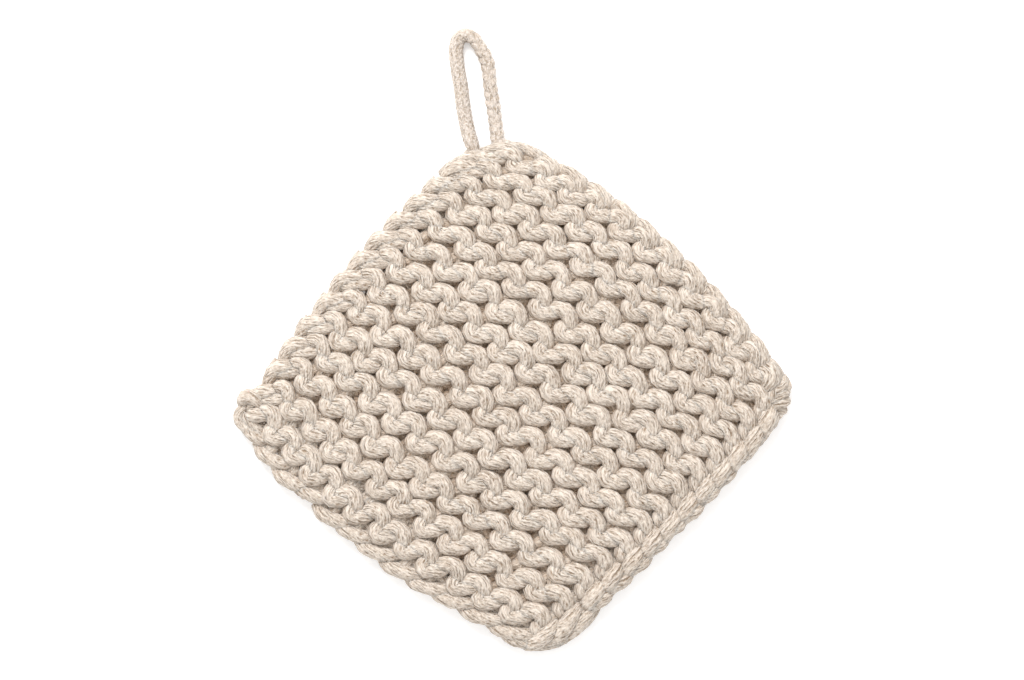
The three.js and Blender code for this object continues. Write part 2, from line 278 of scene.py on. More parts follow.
# Single lengths of yarn at the corners.
CORNER_YARN = {
    "top_left_cord": (
        (-0.84, 2.40, -2.0, 2.6),
        (-0.84, 2.06, 0.8, 3.0),
        (-0.76, 1.44, 2.0, 3.1),
        (-0.61, 0.93, 2.2, 3.1),
        (-0.38, 0.68, 1.2, 3.0),
        (-0.20, 0.60, -1.2, 2.6),
    ),
    "top_cord": (
        (-0.60, 0.92, -1.6, 2.6),
        (-0.57, 0.70, 0.8, 2.9),
        (-0.49, 0.32, 2.2, 3.0),
        (-0.32, -0.04, 2.6, 3.1),
        (-0.02, -0.21, 2.6, 3.0),
        (0.26, -0.14, 1.6, 2.9),
        (0.40, -0.02, -0.8, 2.6),
    ),
    "top_right_cord": (
        (-0.32, -0.14, -1.6, 2.6),
        (-0.16, -0.29, 0.6, 2.8),
        (0.16, -0.43, 1.8, 2.9),
        (0.56, -0.40, 2.0, 3.0),
        (0.84, -0.30, 1.2, 2.9),
        (1.00, -0.16, -0.8, 2.6),
    ),
    "top_edge_cord": (
        (0.50, -0.46, -1.8, 2.6),
        (0.72, -0.42, 0.4, 2.8),
        (1.02, -0.30, 1.2, 2.9),
        (1.26, -0.12, 0.6, 2.8),
        (1.38, 0.04, -1.6, 2.6),
    ),
    "right_head_outer": (
        (10.50, 0.22, -1.0, 2.8),
        (10.60, 0.06, 1.4, 3.4),
        (10.80, -0.06, 2.6, 3.9),
        (11.00, -0.04, 2.9, 4.1),
        (11.13, 0.10, 2.4, 4.0),
        (11.18, 0.28, 1.2, 3.7),
        (11.22, 0.46, -0.8, 3.2),
    ),
    "right_edge_cord": (
        (10.36, -0.08, -2.0, 2.6),
        (10.60, -0.20, 0.2, 2.9),
        (10.85, -0.27, 1.0, 3.0),
        (11.07, -0.27, 0.6, 2.9),
        (11.24, -0.18, -1.6, 2.6),
    ),
    "right_fan_upper": (
        (11.27, 0.92, -0.4, 2.6),
        (11.34, 0.56, 1.9, 3.2),
        (11.38, 0.26, 2.2, 3.5),
        (11.39, -0.01, 1.7, 3.5),
        (11.34, -0.20, 0.6, 3.3),
        (11.20, -0.32, -1.8, 2.9),
    ),
    "right_fan_middle": (
        (11.33, 0.95, -0.2, 2.6),
        (11.44, 0.66, 2.0, 3.4),
        (11.52, 0.38, 2.1, 3.8),
        (11.57, 0.10, 0.8, 3.7),
        (11.57, -0.10, -1.6, 3.2),
    ),
    "right_fan_lower": (
        (11.38, 1.00, -0.4, 2.6),
        (11.57, 0.73, 1.6, 3.4),
        (11.67, 0.47, 1.6, 3.8),
        (11.75, 0.25, 0.0, 3.6),
        (11.79, 0.12, -2.2, 3.1),
    ),
    "right_under": (
        (11.56, 0.94, -1.8, 2.6),
        (11.72, 0.78, -1.0, 3.0),
        (11.85, 0.60, -1.2, 3.1),
        (11.92, 0.44, -2.6, 2.9),
    ),
    "left_knob": (
        (-0.32, 13.06, -0.8, 3.2),
        (-0.58, 13.12, 2.0, 4.2),
        (-0.85, 13.20, 3.2, 4.6),
        (-1.04, 13.34, 2.6, 4.4),
        (-1.11, 13.54, 0.4, 3.7),
        (-1.00, 13.68, -2.4, 2.9),
    ),
    "left_ring": (
        (-0.92, 13.62, -0.8, 2.5),
        (-1.00, 13.86, 0.8, 2.9),
        (-0.97, 14.05, 0.6, 3.0),
        (-0.78, 14.11, 0.9, 3.1),
        (-0.48, 14.05, 1.6, 3.4),
        (-0.10, 14.00, 1.8, 3.7),
        (0.24, 13.90, 1.2, 3.7),
        (0.48, 13.74, -1.4, 3.1),
    ),
    "left_ring_inner": (
        (-0.90, 13.80, -1.2, 2.4),
        (-0.70, 13.86, 1.4, 2.8),
        (-0.42, 13.84, 2.0, 3.1),
        (-0.10, 13.79, 1.6, 3.2),
        (0.18, 13.70, -0.6, 2.9),
    ),
    "bottom_cord": (
        (10.80, 14.22, -2.4, 2.8),
        (11.10, 14.25, -0.4, 3.3),
        (11.42, 14.20, 0.4, 3.6),
        (11.68, 14.12, -0.8, 3.4),
        (11.86, 14.00, -2.8, 2.8),
    ),
    "bottom_turn_inner": (
        (11.62, 12.92, -1.4, 2.9),
        (11.68, 13.14, 1.9, 4.0),
        (11.72, 13.46, 3.2, 4.6),
        (11.74, 13.82, 2.9, 4.5),
        (11.70, 14.10, 1.0, 4.0),
        (11.60, 14.28, -2.2, 3.1),
    ),
    "bottom_turn_middle": (
        (11.68, 12.04, -1.0, 3.0),
        (11.75, 12.28, 2.2, 4.1),
        (11.87, 12.68, 3.2, 4.7),
        (11.97, 13.10, 2.8, 4.7),
        (12.00, 13.50, 1.0, 4.2),
        (11.95, 13.84, -2.0, 3.3),
    ),
    "bottom_turn_outer": (
        (12.00, 11.78, -1.2, 3.2),
        (12.08, 12.12, 0.4, 3.8),
        (12.17, 12.55, 0.8, 4.0),
        (12.22, 13.00, 0.2, 3.9),
        (12.22, 13.40, -1.2, 3.6),
        (12.16, 13.72, -2.8, 3.2),
    ),
    "bottom_under": (
        (12.06, 11.62, -3.8, 2.6),
        (12.20, 12.00, -3.0, 3.0),
        (12.27, 12.50, -2.8, 3.3),
        (12.26, 13.10, -2.8, 3.4),
        (12.20, 13.62, -3.0, 3.3),
        (12.04, 13.98, -3.4, 3.1),
        (11.80, 14.20, -4.0, 2.7),
    ),
}

# ---- How loosely the yarn is spun ---------------------------------------------------------------------------
# Each wave along the yarn has its lengths in millimetres and its size, as a share of what it changes. From one
# track to the next, a wave's length differs by a factor between these two.
WAVE_SPREAD = (0.8, 1.25)
STRAND_SWAY = ((26, 11), 0.8)
STRAND_SWELL = ((13, 7, 5), 0.07)
YARN_SWELL = ((31, 14), 0.04)
GROOVE_WAVE = ((15, 7), 1.6)
# The depth of a groove between strands as a share of the radius, its usual share of that, and its limits.
GROOVE_DEPTH = 0.06
GROOVE_USUAL = 0.75
GROOVE_LIMITS = (0.05, 2.2)
# How much of the depth lies over the yarn's own radius, on the strands.
STRAND_RISE = 0.42

# ---- Sizes of the cord --------------------------------------------------------------------------------------
CORD_RADIUS = 3.7
CORD_RING_STEP = 0.45
CORD_COLUMNS = 54
# The share of its thickness that the cord has where it leaves the corner, and after how many millimetres it is full.
NARROW_SHARE = 0.2
NARROW_END = 12.0
# The fine braid: folds round the cord, its relief and swelling as shares of the radius, and its slant in steps.
BRAID_FOLDS = 6
BRAID_RELIEF = 0.065
BRAID_SWELL = 0.04
BRAID_SLANT = 0.9
# The plump links: columns round the cord and where the first starts, their slant and stagger in links, how square
# they are along and across, and their hollows and relief as shares of the radius.
LINK_COLUMNS = 3
LINK_START = 0.75
LINK_SLANT = 0.75
LINK_STAGGER = 0.25
LINK_SQUARE_ALONG = 0.6
LINK_SQUARE_ACROSS = 0.45
LINK_HOLLOW = -0.15
LINK_RELIEF = 0.27
# The relief of the links grows and shrinks by this much over this many millimetres, and keeps a share of the braid.
LINK_SWELL = 0.05
LINK_SWELL_LENGTH = 23
LINK_BRAID = 0.35
# Where the braid gives way to the links, as a share of the cord, and over how many millimetres.
LINKS_FROM = 0.53
LINKS_BLEND = 6
CORD_ROUTE = (
    (-17.2, 129.6, 7.2),
    (-19.9, 134.6, 7.0),
    (-22.4, 141.0, 5.7),
    (-24.3, 148.2, 4.3),
    (-26.3, 159.2, 3.75),
    (-27.6, 170.1, 3.75),
    (-29.5, 181.1, 3.75),
    (-30.1, 191.0, 3.75),
    (-28.5, 196.2, 3.75),
    (-24.6, 198.2, 3.75),
    (-20.6, 196.4, 3.75),
    (-17.4, 191.8, 3.75),
    (-14.2, 186.3, 3.75),
    (-12.6, 180.6, 3.75),
    (-11.5, 170.1, 3.75),
    (-9.8, 159.2, 3.75),
    (-8.5, 149.2, 4.3),
    (-7.6, 142.6, 5.7),
    (-7.0, 136.4, 7.0),
)

# ---- Marks on the cotton ------------------------------------------------------------------------------------
# Tufts of fibre and drifts of shade in millimetres, and a speck's length as a share of a tuft's.
YARN_TUFT_LENGTH = 1.8
CORD_TUFT_LENGTH = 1.1
TUFT_WIDTH = 0.7
DRIFT_SIZE = 24.0
SPECK_LENGTH = 0.8
# Strands that the colours show round the cord.
CORD_STRANDS = 7
# How far furrows, specks and drifts move the shade, where 0 is the groove colour and 1 the strand colour. A
# furrow's darkening is painted shade between parted strands.
FURROW_PAINTED_SHADE = -0.42
SPECK_SHADE = -0.34
DRIFT_SHADE = 0.08
# How far a furrow sways, in strands, and how deep it is beside the tufts in the relief.
FURROW_SWAY = 2.0
FURROW_RELIEF = -0.6
# In millimetres: how deep the relief of the surface looks, and how far light soaks in.
RELIEF_DEPTH = 1.2
SOAK_DEPTH = 2.4
# The most of the painted shade colour that yarn takes near mid-height inside the square, where shade falls
# between the stitches, and the share of the half thickness over which that painted shade fades out.
PAINTED_SHADE_SHARE = 0.48
PAINTED_SHADE_HEIGHT = 0.75

# ---- The view and the light ---------------------------------------------------------------------------------
# The width and the centre of what the camera takes in, at this height over the table.
FRAME_WIDTH = 560.1
VIEW_CENTRE = (0.55, 30.64)
VIEW_HEIGHT = 11.0
LENS = 100.0
SENSOR = 36.0
# In metres: half the table's side, how far it lies under the part, and the lamp's place and width.
TABLE_REACH = 6.0
TABLE_DROP = 0.0002
LAMP_PLACE = (-0.35, 1.15, 1.25)
LAMP_WIDTH = 0.9
# The lamp's light is very slightly cool.
LAMP_COLOUR = (0.985, 0.99, 1)


def linear(hex_colour):
    """The linear colour of an sRGB hex value."""
    parts = [int(hex_colour[i : i + 2], 16) / 255 for i in (0, 2, 4)]
    return tuple(c / 12.92 if c <= 0.04045 else ((c + 0.055) / 1.055) ** 2.4 for c in parts)


# ---- Settings -----------------------------------------------------------------------------------------------
class PotHolderYarn(PropertyGroup):
    """Sizes and colours of the knitting yarn."""

    strands: IntProperty(
        name="Strands", description="Strands that show round the yarn", default=15, min=6, max=24
    )
    ring_step: FloatProperty(
        name="Ring spacing",
        description="Length of yarn between two rings of its mesh",
        default=0.00165,
        min=0.0005,
        max=0.004,
        unit="LENGTH",
    )
    twist: FloatProperty(
        name="Twist length",
        description="Length of yarn in which its strands turn once round",
        default=0.085,
        min=0.02,
        max=0.4,
        unit="LENGTH",
    )
    unevenness: FloatProperty(
        name="Unevenness",
        description="How far a stitch strays from its place, in stitches",
        default=0.045,
        min=0,
        max=0.1,
        subtype="FACTOR",
    )
    crest: FloatVectorProperty(
        name="Strand colour", description="Colour of the strands", subtype="COLOR", default=linear("e5d9cc")
    )
    # Dark end of the strands' random tone, and the colour of the painted shade in the furrows between strands.
    groove: FloatVectorProperty(
        name="Groove colour",
        description="Colour between the strands",
        subtype="COLOR",
        default=linear("947e68"),
    )
    # Painted shade: brown mixed into yarn near mid-height inside the square, where shade falls between stitches.
    painted_shade_colour: FloatVectorProperty(
        name="Inner colour",
        description="Colour of yarn deep in the knitting",
        subtype="COLOR",
        default=linear("a9845c"),
    )


class PotHolderCord(PropertyGroup):
    """Sizes and colours of the hanging loop."""

    link: FloatProperty(
        name="Link",
        description="Length of one plump link of the cord",
        default=0.0049,
        min=0.002,
        max=0.02,
        unit="LENGTH",
    )
    braid: FloatProperty(
        name="Braid",
        description="Length of one step of the fine braid",
        default=0.003,
        min=0.001,
        max=0.01,
        unit="LENGTH",
    )
    crest: FloatVectorProperty(
        name="Strand colour", description="Colour of the strands", subtype="COLOR", default=linear("dcd1c7")
    )
    # Dark end of the strands' random tone, and the colour of the painted shade in the furrows between strands.
    groove: FloatVectorProperty(
        name="Groove colour",
        description="Colour between the strands",
        subtype="COLOR",
        default=linear("a6937d"),
    )


class PotHolderStage(PropertyGroup):
    """The table and the light."""

    floor: FloatVectorProperty(
        name="Table colour", description="Colour of the table", subtype="COLOR", default=linear("fafafa")
    )
    glow: FloatProperty(
        name="Table glow", description="Light that the lit table gives off", default=0.22, min=0, max=2
    )
    sky: FloatProperty(
        name="Sky light", description="Brightness of the light from all round", default=0.95, min=0, max=5
    )
    key: FloatProperty(
        name="Key light", description="Power of the large lamp", default=25, min=0, max=500, unit="POWER"
    )


# ---- Curves and tubes ---------------------------------------------------------------------------------------
def in_plane(u, v):
    """Millimetres across the table of places in the knitting."""
    u, v = np.asarray(u, float), np.asarray(v, float)
    near_top = np.exp(-(u**2 + v**2) / TOP_PULL_REACH**2)
    moved_u, moved_v = u + TOP_PULL[0] * near_top, v + TOP_PULL[1] * near_top
    for middle, reach, shift in SETTLED:
        share = np.exp(-(((u - middle[0]) / reach[0]) ** 2) - ((v - middle[1]) / reach[1]) ** 2)
        moved_u, moved_v = moved_u + shift[0] * share, moved_v + shift[1] * share
    s = (moved_u + 0.5) / STITCHES
    t = (moved_v + 0.5) / RIDGES

    def bow(a):
        return 4 * a * (1 - a)

    return [
        CORNERS["top"][k] * (1 - s) * (1 - t)
        + CORNERS["right"][k] * s * (1 - t)
        + CORNERS["left"][k] * (1 - s) * t
        + CORNERS["bottom"][k] * s * t
        + bow(s) * (BOWS["top_right"][k] * (1 - t) + BOWS["bottom_left"][k] * t)
        + bow(t) * (BOWS["top_left"][k] * (1 - s) + BOWS["bottom_right"][k] * s)
        for k in (0, 1)
    ]


def to_space(points):
    """Knitting places with heights and radii, as points in millimetres with radii."""
    points = np.asarray(points, float)
    x, y = in_plane(points[:, 0], points[:, 1])
    return np.stack([x, y, points[:, 2] + MID_HEIGHT, points[:, 3]], 1)


def smooth_line(points, step):
    """A smooth line through points, as points that lie step apart. Columns past the third are carried along."""
    points = np.asarray(points, float)
    ends = np.vstack([2 * points[0] - points[1], points, 2 * points[-1] - points[-2]])
    gaps = np.sqrt(np.maximum(np.linalg.norm(np.diff(ends[:, :3], axis=0), axis=1), 1e-3))
    knots = np.concatenate([[0], np.cumsum(gaps)])[:, None]
    p0, p1, p2, p3 = (ends[i : len(ends) - 3 + i] for i in range(4))
    t0, t1, t2, t3 = (knots[i : len(ends) - 3 + i] for i in range(4))
    fine = []
    for share in np.linspace(0, 1, SPLINE_STEPS, endpoint=False):
        t = t1 + (t2 - t1) * share
        a1 = ((t1 - t) * p0 + (t - t0) * p1) / (t1 - t0)
        a2 = ((t2 - t) * p1 + (t - t1) * p2) / (t2 - t1)
        a3 = ((t3 - t) * p2 + (t - t2) * p3) / (t3 - t2)
        b1 = ((t2 - t) * a1 + (t - t0) * a2) / (t2 - t0)
        b2 = ((t3 - t) * a2 + (t - t1) * a3) / (t3 - t1)
        fine.append(((t2 - t) * b1 + (t - t1) * b2) / (t2 - t1))
    line = np.vstack([np.stack(fine, 1).reshape(-1, points.shape[1]), points[-1]])
    along = np.concatenate([[0], np.cumsum(np.linalg.norm(np.diff(line[:, :3], axis=0), axis=1))])
    count = max(3, int(round(along[-1] / step)) + 1)
    places = np.linspace(0, along[-1], count)
    return np.stack([np.interp(places, along, line[:, k]) for k in range(line.shape[1])], 1), places


def carried_frames(line):
    """Two directions across the line at each of its points, turning no more than they must."""
    tangents = np.gradient(line, axis=0)
    tangents /= np.linalg.norm(tangents, axis=1)[:, None]
    side = np.cross(tangents[0], (0.0, 0.0, 1.0))
    if np.linalg.norm(side) < 0.1:
        side = np.cross(tangents[0], (1.0, 0.0, 0.0))
    sides = np.empty_like(line)
    for i, tangent in enumerate(tangents):
        side = side - tangent * (side @ tangent)
        side = side / math.sqrt(side @ side)
        sides[i] = side
    return sides, np.cross(tangents, sides)


def wander(rng, places, tracks, lengths, size):
    """Slow uneven waves along each of several tracks."""
    waves = np.zeros((len(places), tracks))
    for length in lengths:
        phase = rng.uniform(0, 2 * math.pi, tracks)
        pitch = length * rng.uniform(*WAVE_SPREAD, tracks)
        waves += np.sin(2 * math.pi * places[:, None] / pitch + phase)
    return waves * size / len(lengths)


def tube_mesh(ring, places):
    """Rings of points joined into a tube with closed ends, kept above the table.

    It gives the points, the faces, the places of the faces' corners on the yarn, and the two ends.
    """
    rows, columns = ring.shape[:2]
    points = ring.reshape(-1, 3).copy()
    points[:, 2] = np.maximum(points[:, 2], 0.0)
    index = np.arange(rows * columns).reshape(rows, columns)
    nxt = np.roll(index, -1, axis=1)
    quads = np.stack([index[:-1], nxt[:-1], nxt[1:], index[1:]], -1).reshape(-1, 4)
    u = np.repeat(places / (2 * math.pi * YARN_RADIUS), columns).reshape(rows, columns)
    v = np.tile(np.arange(columns) / columns, (rows, 1))
    v_next = v + 1 / columns
    corners = ((u[:-1], v[:-1]), (u[:-1], v_next[:-1]), (u[1:], v_next[1:]), (u[1:], v[1:]))
    uvs = np.stack([np.stack(corner, -1) for corner in corners], 2).reshape(-1, 2)
    return points, quads, uvs, [index[0][::-1], index[-1]]


def stranded_tube(points, rng, strands, step, twist, phase):
    """A yarn's surface round a line: one mesh column on each strand and one in each groove between two.

    Strands swell, thin and part unevenly, as loosely spun cotton does.
    """
    line, places = smooth_line(points, step)
    sides, ups = carried_frames(line[:, :3])
    columns = 2 * strands
    is_groove = (np.arange(columns) % 2).astype(float)
    turn = 2 * math.pi * (np.arange(columns) / columns + phase)[None, :] + 2 * math.pi * places[:, None] / twist
    turn = turn + wander(rng, places, columns, STRAND_SWAY[0], STRAND_SWAY[1] * math.pi / columns)
    depth = GROOVE_DEPTH * np.clip(GROOVE_USUAL + wander(rng, places, columns, *GROOVE_WAVE), *GROOVE_LIMITS)
    radius = line[:, 3:4] * (1 + depth * (STRAND_RISE - is_groove) + wander(rng, places, columns, *STRAND_SWELL))
    radius = radius * (1 + wander(rng, places, 1, *YARN_SWELL))
    ring = line[:, None, :3] + radius[:, :, None] * (
        np.cos(turn)[:, :, None] * sides[:, None, :] + np.sin(turn)[:, :, None] * ups[:, None, :]
    )
    return tube_mesh(ring, places)


def mesh_piece(name, tubes, material):
    """One object from several tubes, in metres."""
    starts = np.cumsum([0] + [len(t[0]) for t in tubes])
    verts = np.vstack([t[0] for t in tubes]) * MM
    quads = np.vstack([t[1] + s for t, s in zip(tubes, starts)])
    caps = [cap + s for t, s in zip(tubes, starts) for cap in t[3]]
    uvs = np.vstack([t[2] for t in tubes] + [np.zeros((len(cap), 2)) for cap in caps])
    corners = np.concatenate([quads.ravel()] + caps)
    sizes = np.array([4] * len(quads) + [len(cap) for cap in caps])
    mesh = bpy.data.meshes.new(name)
    mesh.vertices.add(len(verts))
    mesh.vertices.foreach_set("co", verts.astype(np.float32).ravel())
    mesh.loops.add(len(corners))
    mesh.loops.foreach_set("vertex_index", corners.astype(np.int32))
    mesh.polygons.add(len(sizes))
    mesh.polygons.foreach_set("loop_start", np.concatenate([[0], np.cumsum(sizes)[:-1]]).astype(np.int32))
    mesh.polygons.foreach_set("use_smooth", np.ones(len(sizes), bool))
    layer = mesh.uv_layers.new(name="along_and_around")
    layer.uv.foreach_set("vector", uvs.astype(np.float32).ravel())
    mesh.update(calc_edges=True)
    if mesh.validate():
        raise RuntimeError(name + " had faces that were not valid")
    mesh.materials.append(material)
    piece = bpy.data.objects.new(name, mesh)
    bpy.context.scene.collection.objects.link(piece)
    return piece


# ---- Materials ----------------------------------------------------------------------------------------------
# The places of a map-range node's limits, and of a mix node's colours and result, among their sockets.
FROM_LOW, FROM_HIGH, TO_LOW, TO_HIGH = 1, 2, 3, 4
COLOUR_A, COLOUR_B, MIXED_COLOUR = 6, 7, 2


def add_node(tree, kind, inputs=None, output=0, **settings):
    """Add a node with its settings, set or link its inputs, and give one of its outputs, or the node itself."""
    node = tree.nodes.new(kind)
    for key, value in settings.items():
        setattr(node, key, value)
    for key, value in (inputs or {}).items():
        if isinstance(value, bpy.types.NodeSocket):
            tree.links.new(value, node.inputs[key])
        else:
            node.inputs[key].default_value = value
    return node if output is None else node.outputs[output]


def cotton(name, crest, groove, painted_shade_colour, strands, tuft_length):
    """Undyed cotton, loosely spun and plied, unbrushed: matt strands with short fibres along them that catch the
    light, specks, brown shade painted where strands part, more brown shade painted inside the knitting, a faint
    sheen at grazing angles, light that soaks a little way in, and slow drifts of shade from the raw fibre. Single
    fibres are too fine to show, so tufts of them, 0.7 mm wide, stand for them."""
    girth = 2 * math.pi * YARN_RADIUS
    # Each mark's width round the yarn and length along it in millimetres, and the detail of its noise.
    marks = {
        "tufts": (TUFT_WIDTH, tuft_length, 2.0),
        "specks": (TUFT_WIDTH, SPECK_LENGTH * tuft_length, 0.0),
        "splits": (1.8, 4.4, 1.0),
        "sway": (3.6, 6.5, 1.0),
    }
    material = bpy.data.materials.new(name)
    material.use_nodes = True
    tree = material.node_tree
    tree.nodes.clear()
    uv = add_node(tree, "ShaderNodeUVMap", uv_map="along_and_around")
    parts = add_node(tree, "ShaderNodeSeparateXYZ", {0: uv}, output=None).outputs
    along, around = parts["X"], parts["Y"]
    angle = add_node(tree, "ShaderNodeMath", {0: around, 1: 2 * math.pi}, operation="MULTIPLY")
    cosine = add_node(tree, "ShaderNodeMath", {0: angle}, operation="COSINE")
    sine = add_node(tree, "ShaderNodeMath", {0: angle}, operation="SINE")
    on_yarn = add_node(tree, "ShaderNodeCombineXYZ", {0: cosine, 1: sine, 2: along})
    fields = {}
    for mark, (width, length, detail) in marks.items():
        ring = girth / width / (2 * math.pi)
        stretch = (ring, ring, girth / length)
        spread = add_node(tree, "ShaderNodeVectorMath", {0: on_yarn, 1: stretch}, operation="MULTIPLY")
        noise = {"Vector": spread, "Scale": 1.0, "Detail": detail, "Roughness": 0.6}
        fields[mark] = add_node(tree, "ShaderNodeTexNoise", noise)
    place = add_node(tree, "ShaderNodeTexCoord", output="Object")
    drift = add_node(tree, "ShaderNodeTexNoise", {"Vector": place, "Scale": 1 / (DRIFT_SIZE * MM), "Detail": 2.0})
    # The furrow between two strands sways, and closes where they lie tight. Its dark colour is painted shade where
    # the strands part; the same furrow also deepens the relief of the bump.
    swayed = add_node(tree, "ShaderNodeMath", {0: fields["sway"], 1: FURROW_SWAY}, operation="MULTIPLY")
    phase = add_node(tree, "ShaderNodeMath", {0: around, 1: float(strands), 2: swayed}, operation="MULTIPLY_ADD")
    turns = add_node(tree, "ShaderNodeMath", {0: phase, 1: 2 * math.pi}, operation="MULTIPLY")
    crests = add_node(tree, "ShaderNodeMath", {0: turns}, operation="COSINE")
    furrow = add_node(tree, "ShaderNodeMapRange", {0: crests, FROM_LOW: 0.2, FROM_HIGH: -1.0})
    parting = add_node(tree, "ShaderNodeMapRange", {0: fields["splits"], FROM_LOW: 0.44, FROM_HIGH: 0.62})
    open_furrow = add_node(tree, "ShaderNodeMath", {0: furrow, 1: parting}, operation="MULTIPLY")
    # Tufts, drifts, furrows and specks each move the shade between the groove colour and the strand colour. A speck
    # shows only where its noise is low.
    tufts = {0: fields["tufts"], FROM_LOW: 0.2, FROM_HIGH: 0.8, TO_LOW: 0.12, TO_HIGH: 1.44}
    drifts = {0: drift, FROM_LOW: 0.2, FROM_HIGH: 0.8, TO_LOW: -DRIFT_SHADE, TO_HIGH: DRIFT_SHADE}
    speck = add_node(tree, "ShaderNodeMapRange", {0: fields["specks"], FROM_LOW: 0.36, FROM_HIGH: 0.28})
    shade = add_node(tree, "ShaderNodeMapRange", tufts)
    drifted = add_node(tree, "ShaderNodeMapRange", drifts)
    shade = add_node(tree, "ShaderNodeMath", {0: shade, 1: drifted}, operation="ADD")
    # Painted shade: open furrows darken the colour towards the groove colour where the strands part.
    furrowed = {0: open_furrow, 1: FURROW_PAINTED_SHADE, 2: shade}
    shade = add_node(tree, "ShaderNodeMath", furrowed, operation="MULTIPLY_ADD")
    specked = {0: speck, 1: SPECK_SHADE, 2: shade}
    shade = add_node(tree, "ShaderNodeMath", specked, operation="MULTIPLY_ADD", use_clamp=True)
    shaded = {0: shade, COLOUR_A: (*groove, 1), COLOUR_B: (*crest, 1)}
    colour = add_node(tree, "ShaderNodeMix", shaded, output=MIXED_COLOUR, data_type="RGBA")
    # Painted shade: yarn near mid-height and well inside the four sides, where shade falls deep in the knitting, is
    # mixed towards the brown painted shade colour.
    at = add_node(tree, "ShaderNodeSeparateXYZ", {0: place}, output=None).outputs
    off = {}
    for axis, middle in zip("XYZ", (*SQUARE_MIDDLE, MID_HEIGHT)):
        off[axis] = add_node(tree, "ShaderNodeMath", {0: at[axis], 1: middle * MM}, operation="SUBTRACT")
        off[axis] = add_node(tree, "ShaderNodeMath", {0: off[axis]}, operation="ABSOLUTE")
    across = add_node(tree, "ShaderNodeMath", {0: off["X"], 1: SQUARE_HALF[0] * MM}, operation="DIVIDE")
    both_ways = {0: off["Y"], 1: 1 / (SQUARE_HALF[1] * MM), 2: across}
    across = add_node(tree, "ShaderNodeMath", both_ways, operation="MULTIPLY_ADD")
    within = add_node(tree, "ShaderNodeMapRange", {0: across, FROM_LOW: 1.03, FROM_HIGH: 0.94})
    depth = {0: off["Z"], FROM_LOW: PAINTED_SHADE_HEIGHT * MID_HEIGHT * MM, FROM_HIGH: 0.0, TO_HIGH: PAINTED_SHADE_SHARE}
    painted_shade_mask = add_node(tree, "ShaderNodeMapRange", depth)
    painted_shade_mask = add_node(tree, "ShaderNodeMath", {0: painted_shade_mask, 1: within}, operation="MULTIPLY")
    # Mix in the painted shade.
    painted_shade_mix = {0: painted_shade_mask, COLOUR_A: colour, COLOUR_B: (*painted_shade_colour, 1)}
    colour = add_node(tree, "ShaderNodeMix", painted_shade_mix, output=MIXED_COLOUR, data_type="RGBA")
    hollowed = {0: open_furrow, 1: FURROW_RELIEF, 2: fields["tufts"]}
    relief = add_node(tree, "ShaderNodeMath", hollowed, operation="MULTIPLY_ADD")
    bump = add_node(tree, "ShaderNodeBump", {"Height": relief, "Strength": 1.0, "Distance": RELIEF_DEPTH * MM})
    shader = add_node(
        tree,
        "ShaderNodeBsdfPrincipled",
        {
            "Base Color": colour,
            "Normal": bump,
            "Roughness": 0.92,
            "IOR": 1.5,
            "Specular IOR Level": 0.2,
            "Subsurface Weight": 0.4,
            "Subsurface Radius": (1.0, 0.9, 0.8),
            "Subsurface Scale": SOAK_DEPTH * MM,
            "Sheen Weight": 0.12,
            "Sheen Roughness": 0.5,
        },
    )
    add_node(tree, "ShaderNodeOutputMaterial", {"Surface": shader}, output=None)
    return material


# ---- The knitting -------------------------------------------------------------------------------------------
def placed(shape, p, q, nudge=(0.0, 0.0, 0.0)):
    """A stitch's shape at its place."""
    return [(u + p + nudge[0], v + q + nudge[1], z + nudge[2], r) for u, v, z, r in shape]


def turned(shape, u_shift, v_shift):
    """A shape as the other face of the work shows it, from its far end back."""
    return [(u_shift - u, v + v_shift, -z, r) for u, v, z, r in reversed(shape)]


def nudges(rng, size):
    """How far one loop of yarn strays: along the ridge, across it, and up in millimetres."""
    return (rng.normal(0, size), rng.normal(0, size), rng.normal(0, STRAY_HEIGHT * size))


def kept_inside(points):
    """Points held inside the rim, for yarn of the rows."""
    points = np.array(points, float)
    points[:, 0] = np.clip(points[:, 0], RIM_LOW_U + RIM_INSIDE, RIM_HIGH_U - RIM_INSIDE)
    points[:, 1] = np.clip(points[:, 1], RIM_LOW_V + RIM_INSIDE, RIM_HIGH_V - RIM_INSIDE)
    steps = np.diff(points[:, :3] * (STITCH_WIDTH, RIDGE_PITCH, 1), axis=0)
    return points[np.concatenate([[True], np.linalg.norm(steps, axis=1) > LEAST_STEP])]


def knit_row(q, rng, size):
    """The row whose heads lie on the face: over each stitch, down between the rows and along the back."""
    points = []
    back_sinker = turned(SINKER, TURNED_U, TURNED_V)
    heads = [TOP_HEAD if q == 0 else HEAD] * STITCHES
    heads[0] = {0: CORNER_HEAD, RIDGES - 1: HEAD}.get(q, FIRST_HEAD)
    if q == 0:
        heads[-1] = LAST_TOP_HEAD
    for p, head in enumerate(heads):
        points += placed(head, p, q, nudges(rng, size if p else FIRST_STRAY * size))
        points += placed(LEG_DOWN, p, q)
        points += placed(back_sinker, p, q, nudges(rng, size))
        if p < STITCHES - 1:
            points += placed(LEG_UP, p, q)
    return kept_inside(points)


def purl_row(q, rng, size):
    """The row whose lower loops lie on the face."""
    points = []
    back_head = turned(HEAD, TURNED_U, -TURNED_V)
    first = FIRST_SINKER if q < RIDGES - 1 else KNOB_SINKER
    for p in range(STITCHES):
        points += placed(SINKER if p else first, p, q, nudges(rng, size))
        points += placed(LEG_BACK, p, q)
        points += placed(back_head, p, q, nudges(rng, size))
        points += placed(LEG_FRONT, p, q)
    points += placed(LAST_SINKER, STITCHES, q)
    return kept_inside(points)


def yarn_tube(points, rng, yarn):
    """The surface of one length of yarn, from places in the knitting."""
    phase = rng.uniform(0, 1)
    return stranded_tube(to_space(points), rng, yarn.strands, yarn.ring_step / MM, yarn.twist / MM, phase)


